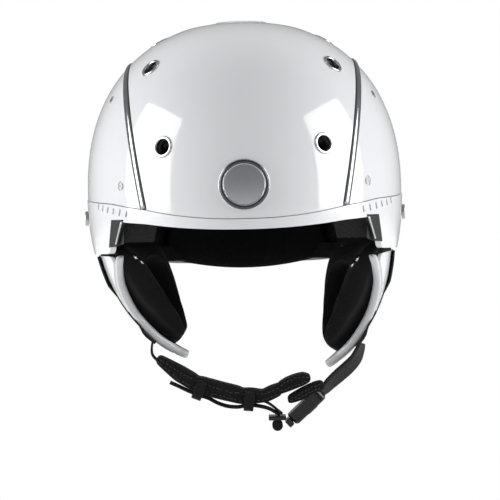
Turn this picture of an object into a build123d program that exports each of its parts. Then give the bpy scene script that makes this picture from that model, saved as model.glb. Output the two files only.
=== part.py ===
from build123d import *
import os
from math import cos, hypot, radians, sin, sqrt

os.makedirs("parts", exist_ok=True)

# Ski helmet in millimetres. +Z up, the wearer looks along -Y, +X is the wearer's left.
# The origin is the centre of the head cavity, at the shell's widest level.

# ---- shell: an ovoid whose side profile is a superellipse ----
half_width = 116.0
front_reach = 131.0
back_reach = 146.0
crown_height = 124.4
lower_depth = 134.0
fullness = 2.25
shell_wall = 3.0
layer_gap = 0.3

# ---- lower edge and rim band, heights at the stations brow, temple, ear, nape ----
brow_edge = -28.0
temple_edge = -20.5
ear_edge = -44.0
nape_edge = -58.0
temple_station = -76.0
ear_front_station = -63.0
ear_back_station = 62.0
brow_bend = 0.79
band_height_brow = 7.5
band_height_temple = 12.5
band_height_ear = 40.0
band_height_nape = 24.0
band_proud = 0.5
seam_gap = 0.5
slit_count = 6
slit_first_turn = 46.5
slit_pitch_turn = 3.75
slit_width = 2.0
slit_height = 5.2
slit_slant = 24.0
slit_drop = 5.2

# ---- trim strips, each in a plane that leans outwards ----
trim_offset = 64.6
trim_lean = 0.19
trim_toe_in = 0.09
trim_width = 4.6
trim_proud = 1.0
trim_seat = 1.0
trim_clearance = 0.25

# ---- vents, (across, along) on the upper shell ----
vent_front = ((56.6, -111.3), (65.4, -65.5))
vent_top = ((61.0, 8.0),)
vent_rear = ((58.0, 78.0), (47.0, 122.0))
vent_bore = 5.3
vent_sleeve_wall = 0.9
vent_flange = 7.6
vent_flange_seat = 0.9
vent_flange_proud = 0.7
vent_clearance = 0.2
sleeve_depth = 12.0

# ---- impact liner and comfort pads ----
liner_wall = 23.0
liner_recess = 2.5
liner_ear_relief = 8.0
pad_thickness = 6.5
far = 300.0
brow_pad_region = (-70, 70, -far, -55, -22, 6)
crown_pad_region = (-34, 34, -60, 66, 40, far)
side_pad_region = (40, far, -34, 44, -32, 22)
nape_pad_region = (-62, 62, 62, far, -26, 12)

# ---- badge, screws, side buttons ----
badge_radius = 17.7
badge_rim = 3.0
badge_height = 3.5
badge_rim_proud = 2.2
badge_disc_proud = 1.2
badge_seat = 0.15
screw_radius = 2.3
screw_dimple = 3.6
screw_dimple_depth = 0.8
screw_grip = 2.2
screw_places = ((88.0, 4.5), (95.0, 68.0))
button_radius = 5.5
button_proud = 2.0
button_height = -18.6
button_station = -4.0
button_shank = 2.4
button_grip = 7.0

# ---- ear cups and pads ----
cup_inset = 2.0
cup_wall = 2.4
ear_top = -46.0
ear_bottom = -121.0
ear_front = -61.0
ear_back = 40.0
ear_pad_top = -37.0
ear_pad_inner_top = 64.0
ear_pad_inner_bottom = 43.0
ear_pad_lead = 5.0
ear_recess_across = 24.0
ear_recess_tall = 27.0
ear_recess_floor = 14.0
ear_recess_height = -76.0
ear_recess_station = -9.0
ear_hinge_across = 109.8
ear_hinge_height = -45.6
ear_left_open = 9.5
snap_radius = 2.6
snap_thick = 1.2
webbing_width = 18.0
webbing_thick = 1.4
webbing_foot = -110.4
strap_end_gap = 0.8

# ---- chin strap ----
strap_station = -22.0
chin_pad_wide = 30.0
chin_pad_thick = 10.0
exit_across = 66.0
exit_height = -119.0
pad_split = 24.6
pad_split_gap = 0.5
keeper_places = ((-36, -144.4, 22), (0, -153.2, 6))
buckle_centre = (42.3, -159.3)
buckle_angle = 42.0
buckle_length = 30.0
buckle_wide = 24.0
buckle_thick = 9.6
tongue_length = 11.0
tongue_wide = 14.0
tongue_thick = 2.6
tongue_play = 0.5
bar_length = 12.8
bar_clear = 2.2
bar_thick = 3.0
bar_rise = 3.8
roll_radius = 3.9
key_length = 9.0
key_wide = 10.0
key_proud = 0.8

# ---- size adjuster and goggle strap retainer at the back ----
dial_radius = 11.5
dial_thick = 8.0
dial_height = -47.0
dial_station = 136.0
dial_shaft = 3.0
housing_wide = 36.0
housing_tall = 24.0
housing_depth = 12.4
housing_wall = 2.0
fit_band_inset = 29.0
fit_band_thick = 1.6
fit_band_tall = 12.0
fit_band_reach = 76.0
fit_band_end = 50.0
fit_band_overlap = 8.0
retainer_height = 22.0
retainer_wide = 26.0
retainer_tall = 34.0
retainer_pin = 1.2


def dome(inset):
    """Closed ovoid lying inset inside the shell's outer face."""
    width = half_width - inset
    upper = crown_height - inset
    lower = lower_depth - inset
    steps = 12
    profile = []
    for step in range(-steps, steps + 1):
        turn = radians(90.0 * step / steps)
        height = (upper if turn > 0 else lower) * abs(sin(turn)) ** (2 / fullness)
        radius = width * max(cos(turn), 0.0) ** (2 / fullness)
        profile.append((radius if abs(step) < steps else 0.0, 0, height if turn > 0 else -height))
    outline = Spline(profile, tangents=((1, 0, 0), (-1, 0, 0)))
    closing = Line(profile[-1], profile[0])
    half_face = make_face([outline, closing])
    back_half = revolve(half_face, Axis.Z, 180)
    front_half = mirror(back_half, Plane.XZ)
    if back_half.center(CenterOf.MASS).Y < 0:
        back_half, front_half = front_half, back_half
    back_half = scale(back_half, by=(1, (back_reach - inset) / width, 1))
    front_half = scale(front_half, by=(1, (front_reach - inset) / width, 1))
    return Part() + back_half + front_half


domes = {}


def layer(outer, inner):
    """The skin between two insets of the ovoid."""
    for inset in (outer, inner):
        if inset not in domes:
            domes[inset] = dome(inset)
    return domes[outer] - domes[inner]


def solid_dome(inset):
    if inset not in domes:
        domes[inset] = dome(inset)
    return domes[inset]


def reach_at(x, z):
    """Forward distance of the outer face at a place across and a height."""
    level = 1 - abs(z / (crown_height if z > 0 else lower_depth)) ** fullness
    return front_reach * sqrt(max(level ** (2 / fullness) - (x / half_width) ** 2, 0.0))


def height_at(x, y):
    """Height of the outer face over a place in plan."""
    reach = front_reach if y < 0 else back_reach
    plan = (x / half_width) ** 2 + (y / reach) ** 2
    return crown_height * (1 - plan ** (fullness / 2)) ** (1 / fullness)


def normal_at(x, y, z):
    """Outward direction of the outer face."""
    reach = front_reach if y < 0 else back_reach
    rise = crown_height if z > 0 else lower_depth
    plan = (x / half_width) ** 2 + (y / reach) ** 2
    share = plan ** (fullness / 2 - 1)
    steep = abs(z) ** (fullness - 1) / rise**fullness
    return Vector(share * x / half_width**2, share * y / reach**2, steep if z > 0 else -steep).normalized()


def side_prism(points, radius):
    """A flat shape in the side view (along, up), cut through the whole width."""
    outline = FilletPolyline([(0, y, z) for y, z in points], radius=radius, close=True)
    return extrude(make_face(outline), amount=far, dir=(1, 0, 0), both=True)


def front_prism(face):
    """A flat shape drawn across and up, cut through the front only."""
    return extrude(Plane.XZ * face, amount=far)


def under(points, radius):
    """Everything below a line of (along, up) points."""
    corners = [(-far, points[0][1])] + list(points) + [(far, points[-1][1])]
    line = FilletPolyline([(0, y, z) for y, z in corners], radius=radius)
    low = -far
    skirt = Polyline([(0, far, points[-1][1]), (0, far, low), (0, -far, low), (0, -far, points[0][1])])
    return extrude(make_face([line, skirt]), amount=far, dir=(1, 0, 0), both=True)


def edge_points(lift):
    """The shell's lower edge in the side view, lifted by an amount."""
    return (
        (-front_reach, brow_edge + lift),
        (-brow_bend * front_reach, (brow_edge + 3 * temple_edge) / 4 - 0.4 + lift),
        (temple_station, temple_edge + lift),
        (ear_front_station + lift * 0.4, ear_edge + lift),
        (ear_back_station, ear_edge - 2 + lift),
        (0.75 * back_reach, nape_edge + 3 + lift),
        (back_reach, nape_edge + lift),
    )


edge_bends = [30, 40, 5, 9, 40, 30, 30]


def seam_points(shift):
    """The seam between the shell and its rim band."""
    return (
        (-front_reach, brow_edge + band_height_brow + shift),
        (-brow_bend * front_reach, temple_edge + 0.65 * band_height_temple + shift),
        (temple_station, temple_edge + band_height_temple + shift),
        (0, ear_edge + band_height_ear + shift),
        (0.55 * back_reach, (ear_edge + band_height_ear + nape_edge + band_height_nape) / 2 + 6 + shift),
        (back_reach, nape_edge + band_height_nape + shift),
    )


seam_bends = [30, 40, 60, 60, 40, 30]

ear_outline = (
    (ear_front, ear_top),
    (ear_front + 20, ear_top - 22),
    (ear_front + 42, ear_bottom + 12),
    (ear_front + 56, ear_bottom),
    (ear_back - 27, ear_bottom + 9),
    (ear_back - 6, ear_top - 32),
    (ear_back, ear_top),
)
ear_bends = [4, 25, 10, 8, 14, 25, 4]
ear_pad_bends = [8, 25, 10, 8, 14, 25, 8]

under_edge = under(edge_points(0), edge_bends)
under_seam = under(seam_points(0), seam_bends)
under_seam_gap = under(seam_points(-seam_gap), seam_bends)


def on_both_sides(shape):
    return shape + mirror(shape, Plane.YZ)


def trim_slab(width):
    lean = Plane(origin=(trim_offset, 0, 0), z_dir=(1, trim_toe_in, -trim_lean))
    return extrude(lean * Rectangle(2 * far, 2 * far), amount=width / 2, both=True)


def vent_frames(places):
    frames = []
    for x, y in places:
        z = height_at(x, y)
        frames.append(Plane(origin=(x, y, z), z_dir=normal_at(x, y, z)))
    return frames


def vent_hole(frame, radius, flange_radius):
    bore = frame.offset(-45) * Cylinder(radius, 55, align=(Align.CENTER, Align.CENTER, Align.MIN))
    seat = frame.offset(-vent_flange_seat - vent_clearance)
    return bore + seat * Cylinder(flange_radius, 10, align=(Align.CENTER, Align.CENTER, Align.MIN))


def vent_insert(frame):
    """Bevelled ring with a sleeve through the shell into the liner."""
    inner = vent_bore
    outer = vent_bore + vent_sleeve_wall
    points = (
        (inner, -sleeve_depth),
        (outer, -sleeve_depth),
        (outer, -vent_flange_seat),
        (vent_flange, -vent_flange_seat),
        (vent_flange, vent_flange_proud * 0.3),
        (vent_flange - 1.0, vent_flange_proud),
        (inner + 0.6, vent_flange_proud * 0.4),
        (inner, -vent_flange_seat),
    )
    face = make_face(Polyline([(r, 0, h) for r, h in points], close=True))
    return frame * revolve(face, Axis.Z, 360)


def screw_frames():
    frames = []
    for x, z in screw_places:
        y = -reach_at(x, z)
        frames.append(Plane(origin=(x, y, z), z_dir=normal_at(x, y, z)))
    return frames


def screw(frame):
    head = Cylinder(screw_radius, 1.1, align=(Align.CENTER, Align.CENTER, Align.MIN))
    shank = Cylinder(1.3, screw_grip + 3, align=(Align.CENTER, Align.CENTER, Align.MAX))
    slot = Pos(0, 0, 1.1) * Box(2.6, 0.6, 0.8)
    seat = frame.offset(-screw_dimple_depth)
    return seat * (head + shank - slot)


def screw_pocket(frame):
    dimple = Cylinder(screw_dimple, 8, align=(Align.CENTER, Align.CENTER, Align.MIN))
    bore = Cylinder(1.35, 12, align=(Align.CENTER, Align.CENTER, Align.MAX))
    return frame.offset(-screw_dimple_depth) * (dimple + bore)


def button_frame():
    x = half_width * 0.995
    return Plane(origin=(x, button_station, button_height), z_dir=(1, 0, 0))


def side_button():
    cap = Pos(0, 0, button_proud / 2) * Cylinder(button_radius, button_proud)
    cap = fillet(cap.faces().sort_by(Axis.Z)[-1].edges(), 0.7)
    shank = Pos(0, 0, -button_grip / 2) * Cylinder(button_shank, button_grip)
    return button_frame().offset(band_proud + layer_gap) * (cap + shank)


all_vents = vent_frames(vent_front + vent_top + vent_rear)
vent_clear_bore = vent_bore + vent_sleeve_wall + vent_clearance
vent_cuts = Part() + [vent_hole(f, vent_clear_bore, vent_flange + vent_clearance) for f in all_vents]
vent_cuts = on_both_sides(vent_cuts)
screw_cuts = on_both_sides(Part() + [screw_pocket(f) for f in screw_frames()])
button_bore = on_both_sides(button_frame() * Cylinder(button_shank + 0.05, 24))

# window at the nape for the size dial, open at the lower edge
window_top = dial_height + housing_tall / 2 + 0.5
nape_cut = Pos(0, back_reach, (window_top + nape_edge - 20) / 2) * Box(
    housing_wide + 1, 90, window_top - nape_edge + 20)


def retainer_frame():
    """Local Z out of the shell's back face, local Y up."""
    reach = back_reach * (1 - abs(retainer_height / crown_height) ** fullness) ** (1 / fullness)
    out = normal_at(0, reach, retainer_height)
    return Plane(origin=(0, reach, retainer_height), x_dir=(-1, 0, 0), z_dir=out)


retainer_arm = retainer_tall / 2 - 6
retainer_pins = ((-8, retainer_arm), (8, retainer_arm), (0, -retainer_arm))


def outer_shell():
    shell = layer(0, shell_wall) - under_seam - vent_cuts - screw_cuts
    groove = trim_slab(trim_width + 2 * trim_clearance) & layer(-4, trim_seat + trim_clearance)
    shell = shell - on_both_sides(groove)
    pins = [Pos(x, y, 0) * Cylinder(retainer_pin + 0.1, 16) for x, y in retainer_pins]
    return shell - retainer_frame() * (Part() + pins)


def rim_band():
    band = (layer(-band_proud, shell_wall) & under_seam_gap) - under_edge - nape_cut - button_bore
    slits = []
    for step in range(slit_count):
        turn = radians(slit_first_turn + step * slit_pitch_turn)
        x = half_width * sin(turn)
        y = -front_reach * cos(turn)
        share = (temple_station - y) / (temple_station + brow_bend * front_reach)
        seam = temple_edge + band_height_temple - 0.35 * band_height_temple * share
        place = Plane(origin=(x, y, seam - slit_drop), x_dir=(0, 0, 1), z_dir=normal_at(x, y, 0.001))
        slits.append(place * Rot(0, 0, slit_slant) * SlotOverall(slit_height, slit_width))
    cuts = Part() + [extrude(s, amount=8, both=True) for s in slits]
    return band - on_both_sides(cuts)


def trim_strip():
    base = trim_slab(trim_width) & layer(-trim_proud * 0.4, trim_seat)
    crest = trim_slab(trim_width * 0.6) & layer(-trim_proud, -trim_proud * 0.4 + 0.01)
    return (base + crest) - under(seam_points(seam_gap), seam_bends)


def badge_layer(outer_radius, inner_radius, proud, seat):
    disc = front_prism(Pos(0, badge_height) * Circle(outer_radius))
    if inner_radius:
        disc = disc - front_prism(Pos(0, badge_height) * Circle(inner_radius))
    return disc & layer(-proud, -seat)


liner_outer = shell_wall + layer_gap
liner_inner = liner_outer + liner_wall
pad_outer = liner_inner + layer_gap
pad_inner = pad_outer + pad_thickness


def impact_liner():
    lifted = under(edge_points(liner_recess), edge_bends)
    relief_top = ear_edge + liner_ear_relief
    ear_relief = plan_box(-far, far, ear_front_station - 14, ear_back_station + 2, -far, relief_top)
    liner = layer(liner_outer, liner_inner) - lifted - ear_relief - vent_cuts - nape_cut - screw_cuts
    pins = [Pos(x, y, 0) * Cylinder(retainer_pin + 0.1, 16) for x, y in retainer_pins]
    liner = liner - retainer_frame() * (Part() + pins)
    channel = Box(2 * far, 7, far, align=(Align.CENTER, Align.CENTER, Align.MIN))
    channels = Part() + [Pos(0, y, 20) * channel for y in (-46, 40)]
    floor = layer(liner_inner - 6, liner_inner + 4)
    return liner - (channels & floor) - button_bore


def comfort_pad(region):
    """A pad cut from the comfort layer, between sizes across, along and up."""
    return layer(pad_outer, pad_inner) & plan_box(*region)


def plan_box(x0, x1, y0, y1, z0, z1):
    return Pos((x0 + x1) / 2, (y0 + y1) / 2, (z0 + z1) / 2) * Box(x1 - x0, y1 - y0, z1 - z0)


def ear_side(shape):
    """Keep the part on the wearer's left, +X."""
    return shape & plan_box(0, far, -far, far, -far, far)


ear_plate = side_prism(ear_outline, ear_bends)


def ear_cup():
    cup = ear_side(layer(cup_inset, cup_inset + cup_wall) & ear_plate)
    return cup


def ear_pad():
    grown = [(ear_front - ear_pad_lead, ear_pad_top), (ear_front + 16, ear_top - 24),
             (ear_front + 38, ear_bottom + 10), (ear_front + 54, ear_bottom + 2),
             (ear_back - 27, ear_bottom + 11), (ear_back - 4, ear_top - 30), (ear_back + 2, ear_pad_top)]
    body = ear_side(solid_dome(cup_inset + cup_wall + layer_gap) & side_prism(grown, ear_pad_bends))
    fall = ear_pad_top - (ear_bottom + 20)
    inner = make_face(Polyline([(-10, 0, ear_pad_top + 5),
                                (ear_pad_inner_top + 2, 0, ear_pad_top + 5),
                                (ear_pad_inner_top, 0, ear_pad_top),
                                (ear_pad_inner_bottom, 0, ear_pad_top - fall),
                                (ear_pad_inner_bottom + 14, 0, ear_bottom),
                                (-10, 0, ear_bottom)], close=True))
    body = body - extrude(inner, amount=far, dir=(0, 1, 0), both=True)
    oval = Pos(ear_recess_station, ear_recess_height) * Ellipse(ear_recess_across, ear_recess_tall)
    recess = extrude(Plane.YZ * oval, amount=far, dir=(1, 0, 0)) & solid_dome(ear_recess_floor)
    return body - recess


def ear_webbing():
    """Outer strap lying on the cup, from under the shell down to the cup's foot."""
    run = plan_box(0, far, ear_front + 30, ear_front + 30 + webbing_width, webbing_foot, ear_top - 0.4)
    outer = cup_inset - 0.2 - webbing_thick
    return ear_side(layer(outer, cup_inset - 0.2) & run)


def ear_snaps():
    """Two press studs on the pad's inner face, near its front corner."""
    fall = ear_pad_top - (ear_bottom + 20)
    lean = (ear_pad_inner_top - ear_pad_inner_bottom) / fall
    discs = []
    for y, drop in ((ear_front + 8, 7), (ear_front + 19, 8)):
        x = ear_pad_inner_top - lean * drop
        out = Plane(origin=(x, y, ear_pad_top - drop), z_dir=(-1, 0, lean))
        discs.append(out.offset(0.1 + snap_thick / 2) * Cylinder(snap_radius, snap_thick))
    return Part() + discs


def opened(shape):
    """Swing a piece of the left ear cup outwards about its hinge line."""
    at = Pos(ear_hinge_across, 0, ear_hinge_height)
    return at * Rot(0, -ear_left_open, 0) * at.inverse() * shape


def corner_clip():
    face = front_prism(Pos(half_width * 0.795, temple_edge - 8.5) * RectangleRounded(11.0, 17.0, 2.5))
    under_here = under(edge_points(-0.4), edge_bends)
    keep_front = plan_box(0, far, -far, ear_front_station - 4, -far, far)
    return layer(1.0, 6.0) & face & under_here & keep_front


def padded(points, bends):
    """A pad of the chin strap, from its outline in the front view."""
    outline = FilletPolyline([(x, 0, z) for x, z in points], radius=bends, close=True)
    body = extrude(make_face(outline), amount=chin_pad_wide / 2, dir=(0, 1, 0), both=True)
    return Pos(0, strap_station, 0) * body


def chin_pad():
    top = [(-exit_across, exit_height + 0.5), (-37, -137), (-4, -146.5), (10, -147.5), (pad_split, -140.8)]
    low = [(pad_split, -150.0), (14, -155), (-4, -157), (-39, -147), (-54, -138)]
    heel = [(-exit_across - 2.5, exit_height - 5)]
    return padded(top + low + heel, [2, 30, 30, 12, 2, 2, 8, 30, 30, 20, 2])


def chin_pad_tip():
    start = pad_split + pad_split_gap
    top = [(start, -140.6), (39.3, -136.2), (46, -137.5), (53.5, -142.3)]
    low = [(50.5, -144.4), (43, -150.8), (37, -154.3), (32.5, -152.6), (29.6, -147.2), (start, -146.9)]
    return padded(top + low, [1.5, 8, 8, 1, 1, 6, 2, 1.5, 1.5, 1])


def buckle_plane():
    """Local X along the buckle towards its strap, local Z out of its lower face."""
    turn = radians(buckle_angle)
    x, z = buckle_centre
    along = (cos(turn), 0, sin(turn))
    return Plane(origin=(x, strap_station, z), x_dir=along, z_dir=(sin(turn), 0, -cos(turn)))


def buckle_female():
    body = Box(buckle_length, buckle_wide, buckle_thick)
    body = fillet(body.edges().filter_by(Axis.Z), 5)
    body = chamfer(body.faces().sort_by(Axis.Z)[-1].edges(), 1.4)
    mouth = Pos(-buckle_length / 2, 0, 0) * Box(
        2 * (tongue_length + 1), tongue_wide + 2 * tongue_play, tongue_thick + 2 * tongue_play)
    key_well = Pos(1, 0, buckle_thick / 2) * Box(key_length + 0.6, key_wide + 0.6, 5)
    strap_slot = Pos(buckle_length / 2, 0, -1.5) * Box(9, webbing_width + 0.6, webbing_thick + 0.6)
    return buckle_plane() * (body - mouth - key_well - strap_slot)


def release_button():
    key = Box(key_length, key_wide, 1.5 + key_proud, align=(Align.CENTER, Align.CENTER, Align.MAX))
    key = fillet(key.faces().sort_by(Axis.Z)[-1].edges(), 0.5)
    return buckle_plane() * (Pos(1, 0, buckle_thick / 2 + key_proud) * key)


def bar_centre():
    at = buckle_plane().from_local_coords(Vector(-buckle_length / 2 - 3.0, 0, 0))
    return at.X - bar_clear - bar_length / 2, at.Z + bar_rise


def buckle_male():
    """Tongue, shoulder and the ladder bar that the left strap turns round."""
    start = -buckle_length / 2
    tongue = Pos(start + tongue_length / 2 - 2, 0, 0) * Box(tongue_length + 4, tongue_wide, tongue_thick)
    shoulder = Pos(start - 2.6, 0, 0) * Box(4.2, buckle_wide - 2, 6.0)
    shoulder = fillet(shoulder.edges().filter_by(Axis.Z), 1.5)
    flat = buckle_plane() * (tongue + shoulder)
    x, z = bar_centre()
    bar = Pos(x, strap_station, z) * Box(bar_length, buckle_wide - 2, bar_thick)
    return flat + bar


def strap_roll():
    """The webbing's turn under the ladder bar."""
    x, z = bar_centre()
    roll = Cylinder(roll_radius, webbing_width - 2, rotation=(90, 0, 0))
    return Pos(x, strap_station, z - bar_thick / 2 - 0.15 - roll_radius) * roll


def left_foot():
    """Where the left cup's webbing ends once the cup is open."""
    turn = radians(ear_left_open)
    across = exit_across + 4 - ear_hinge_across
    drop = webbing_foot - strap_end_gap - ear_hinge_height
    return (ear_hinge_across + across * cos(turn) - drop * sin(turn),
            ear_hinge_height + across * sin(turn) + drop * cos(turn))


def webbing(path, width):
    sketch = make_face(offset_strip([(x, 0, z) for x, z in path], webbing_thick))
    return Pos(0, strap_station, 0) * extrude(sketch, amount=width / 2, dir=(0, 1, 0), both=True)


def short_strap():
    """Webbing from the left cup's foot to the female buckle's slot."""
    start = buckle_plane().from_local_coords(Vector(buckle_length / 2 - 4.0, 0, -1.5))
    ahead = buckle_plane().from_local_coords(Vector(buckle_length / 2 + 4.0, 0, -1.5))
    foot = left_foot()
    return webbing([(start.X, start.Z), (ahead.X, ahead.Z), (76, -129.3), foot], webbing_width)


def offset_strip(points, thick):
    """Closed outline of a thin strip along points in the front view."""
    up = []
    down = []
    for at in range(len(points)):
        ahead = points[min(at + 1, len(points) - 1)]
        behind = points[max(at - 1, 0)]
        run = hypot(ahead[0] - behind[0], ahead[2] - behind[2])
        nx = -(ahead[2] - behind[2]) / run * thick / 2
        nz = (ahead[0] - behind[0]) / run * thick / 2
        up.append((points[at][0] + nx, 0, points[at][2] + nz))
        down.append((points[at][0] - nx, 0, points[at][2] - nz))
    return Polyline(up + down[::-1], close=True)


def long_strap():
    """Webbing under the chin pad, from the right cup's foot to the ladder bar."""
    x, z = bar_centre()
    down = [(-exit_across - 4, webbing_foot - strap_end_gap), (-exit_across - 5.4, exit_height)]
    under_pad = [(-exit_across - 4.8, -125.5), (-55.8, -141), (-40, -149.8), (-4, -159.8)]
    to_bar = [(8, -159), (14.5, -158.4), (x + 2, z + bar_thick / 2 + 1.1)]
    return webbing(down + under_pad + to_bar, webbing_width - 2)


def keeper(x, z, tilt):
    outer = Box(6, chin_pad_wide + 4, chin_pad_thick + 8)
    inner = Box(8, chin_pad_wide + 1, chin_pad_thick + 5.2)
    return Pos(x, strap_station, z) * Rot(0, tilt, 0) * (outer - inner)


def dial_plane():
    return Plane(origin=(0, dial_station, dial_height), z_dir=(0, 1, 0), x_dir=(1, 0, 0))


def band_station():
    """Where the fit band crosses the middle of the nape."""
    lower = lower_depth - fit_band_inset
    level = 1 - abs(dial_height / lower) ** fullness
    return (back_reach - fit_band_inset) * level ** (1 / fullness)


def dial_housing():
    """Block through the nape window, with the band's slot at its inner end."""
    inner = band_station() - housing_depth
    block = plan_box(-housing_wide / 2, housing_wide / 2, inner, dial_station,
                     dial_height - housing_tall / 2, dial_height + housing_tall / 2)
    block = fillet(block.edges().filter_by(Axis.Y), 5)
    slot = plan_box(-housing_wide, housing_wide, inner + housing_wall, band_station() + 3.2,
                    dial_height - fit_band_tall / 2 - 0.5, dial_height + fit_band_tall / 2 + 0.5)
    bore = dial_plane() * Cylinder(dial_shaft + 0.06, 2 * (dial_station - inner - housing_wall))
    return block - slot - bore


def dial_knob():
    knob = Cylinder(dial_radius, dial_thick, align=(Align.CENTER, Align.CENTER, Align.MIN))
    knob = fillet(knob.faces().sort_by(Axis.Z)[-1].edges(), 1.5)
    grips = Part() + [Rot(0, 0, step * 360 / 16) * Pos(dial_radius + 0.5, 0, 0) * Cylinder(1.3, 30)
                      for step in range(16)]
    shaft_run = dial_station - band_station() - 3.2
    shaft = Cylinder(dial_shaft, shaft_run, align=(Align.CENTER, Align.CENTER, Align.MAX))
    return dial_plane() * (Pos(0, 0, layer_gap) * (knob - grips) + Pos(0, 0, layer_gap + 0.1) * shaft)


def fit_band(tongue_low, tongue_high):
    """The left half of the nape band, with a narrow tongue in the dial housing's slot."""
    half_tall = fit_band_tall / 2
    ring = layer(fit_band_inset, fit_band_inset + fit_band_thick)
    wide = plan_box(housing_wide / 2 + 6, fit_band_reach, fit_band_end, far,
                    dial_height - half_tall, dial_height + half_tall)
    tongue = plan_box(-fit_band_overlap, housing_wide / 2 + 7, fit_band_end, far,
                      dial_height + tongue_low, dial_height + tongue_high)
    return ring & (wide + tongue)


def retainer_base():
    plate = Box(retainer_wide, 12, 2.4, align=(Align.CENTER, Align.CENTER, Align.MIN))
    plate = fillet(plate.edges().filter_by(Axis.Z), 3)
    pin = Pos(0, 0, 0.5 - shell_wall / 2) * Cylinder(retainer_pin, shell_wall)
    pins = Part() + [Pos(x, y, 0) * pin for x, y in retainer_pins[:2]]
    return retainer_frame() * (Pos(0, retainer_arm, 0.15) * plate + pins)


def retainer_snap():
    x, y = retainer_pins[2]
    stud = Cylinder(5.0, 2.3, align=(Align.CENTER, Align.CENTER, Align.MIN))
    pin = Cylinder(retainer_pin, shell_wall - 0.3, align=(Align.CENTER, Align.CENTER, Align.MAX))
    return retainer_frame() * Pos(x, y, 0.15) * (stud + pin)


def retainer_strap():
    strap = Pos(0, 0, 3.9) * Box(16, retainer_tall, 2.0)
    strap = fillet(strap.edges().filter_by(Axis.Z), 3)
    return retainer_frame() * strap


def save(name, shape):
    export_step(shape, "parts/" + name + ".step")


def save_pair(name, shape):
    save(name + "_left", shape)
    save(name + "_right", mirror(shape, Plane.YZ))


save("outer_shell", outer_shell())
save("rim_band", rim_band())
save_pair("trim_strip", trim_strip())
save("vent_inserts_front", on_both_sides(Part() + [vent_insert(f) for f in vent_frames(vent_front)]))
save("vent_inserts_top", on_both_sides(Part() + [vent_insert(f) for f in vent_frames(vent_top)]))
save("vent_inserts_rear", on_both_sides(Part() + [vent_insert(f) for f in vent_frames(vent_rear)]))
save("badge_ring", badge_layer(badge_radius, badge_radius - badge_rim, badge_rim_proud, badge_seat))
save("badge_disc", badge_layer(badge_radius - badge_rim - badge_seat, 0, badge_disc_proud, badge_seat))
save("panel_screws", on_both_sides(Part() + [screw(f) for f in screw_frames()]))
save_pair("side_button", side_button())
save("impact_liner", impact_liner())
save("brow_pad", comfort_pad(brow_pad_region))
save("crown_pad", comfort_pad(crown_pad_region))
save_pair("side_pad", comfort_pad(side_pad_region))
save("nape_pad", comfort_pad(nape_pad_region))
save_pair("corner_clip", corner_clip())
for ear_name, ear_piece in (("ear_cup", ear_cup()), ("ear_pad", ear_pad()),
                            ("ear_webbing", ear_webbing()), ("ear_snaps", ear_snaps())):
    save(ear_name + "_left", opened(ear_piece))
    save(ear_name + "_right", mirror(ear_piece, Plane.YZ))
save("chin_pad", chin_pad())
save("chin_pad_tip", chin_pad_tip())
save("long_strap", long_strap())
save("short_strap", short_strap())
save("buckle_female", buckle_female())
save("release_button", release_button())
save("buckle_male", buckle_male())
save("strap_roll", strap_roll())
for keeper_name, keeper_place in zip(("keeper_outer", "keeper_inner"), keeper_places):
    save(keeper_name, keeper(*keeper_place))
save("dial_housing", dial_housing())
save("dial_knob", dial_knob())
save("fit_band_left", fit_band(0.4, fit_band_tall / 2))
save("fit_band_right", mirror(fit_band(-fit_band_tall / 2, -0.4), Plane.YZ))
save("retainer_base", retainer_base())
save("retainer_snap", retainer_snap())
save("retainer_strap", retainer_strap())
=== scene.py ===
from math import atan2, cos, hypot, pi, radians, sin, sqrt

import bmesh
import bpy
from mathutils import Matrix, Vector
from mathutils.bvhtree import BVHTree
from mathutils.kdtree import KDTree


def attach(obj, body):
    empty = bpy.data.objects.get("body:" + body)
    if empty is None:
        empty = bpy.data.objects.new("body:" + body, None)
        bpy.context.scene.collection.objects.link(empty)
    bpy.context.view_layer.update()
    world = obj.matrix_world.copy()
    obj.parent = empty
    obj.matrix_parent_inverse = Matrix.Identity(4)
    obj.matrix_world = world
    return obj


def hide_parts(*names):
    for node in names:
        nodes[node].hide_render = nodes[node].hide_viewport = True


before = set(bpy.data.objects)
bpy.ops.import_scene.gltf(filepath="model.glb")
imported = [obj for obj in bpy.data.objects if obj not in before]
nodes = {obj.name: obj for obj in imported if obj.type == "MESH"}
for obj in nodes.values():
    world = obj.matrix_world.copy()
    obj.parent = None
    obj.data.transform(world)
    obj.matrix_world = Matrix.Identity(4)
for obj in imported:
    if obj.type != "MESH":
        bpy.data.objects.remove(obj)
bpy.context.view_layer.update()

# ---- Studio -------------------------------------------------------------------------------------
# The helmet is seen level from the front with a long lens, rolled a little to one side.
# Two tall softboxes at its sides give the highlights; one above and one behind only fill the shade.
view_wide = 0.371
camera_distance = 2.1
camera_rise = radians(1.0)
camera_roll = radians(-1.3)
aim = Vector((0.003, 0.0, -0.0445))

lens = bpy.data.cameras.new("camera")
lens.sensor_width = 36.0
lens.lens = lens.sensor_width * camera_distance / view_wide
lens.clip_end = 30.0
camera = bpy.data.objects.new("camera", lens)
camera.location = aim + camera_distance * Vector((0, -cos(camera_rise), sin(camera_rise)))
facing = (aim - camera.location).to_track_quat("-Z", "Y").to_matrix().to_4x4()
camera.rotation_euler = (facing @ Matrix.Rotation(camera_roll, 4, "Z")).to_euler()
bpy.context.scene.collection.objects.link(camera)
bpy.context.scene.camera = camera
bpy.context.scene.view_settings.view_transform = "Standard"


def softbox(name, place, size, power, shines=True):
    """A rectangular lamp that looks at the helmet's middle; one that does not shine leaves no highlight."""
    lamp = bpy.data.lights.new(name, "AREA")
    lamp.shape = "RECTANGLE"
    lamp.size, lamp.size_y = size
    lamp.energy = power
    box = bpy.data.objects.new(name, lamp)
    box.location = place
    box.rotation_euler = (Vector((0, 0, 0)) - box.location).to_track_quat("-Z", "Y").to_euler()
    box.visible_glossy = shines
    bpy.context.scene.collection.objects.link(box)


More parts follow.
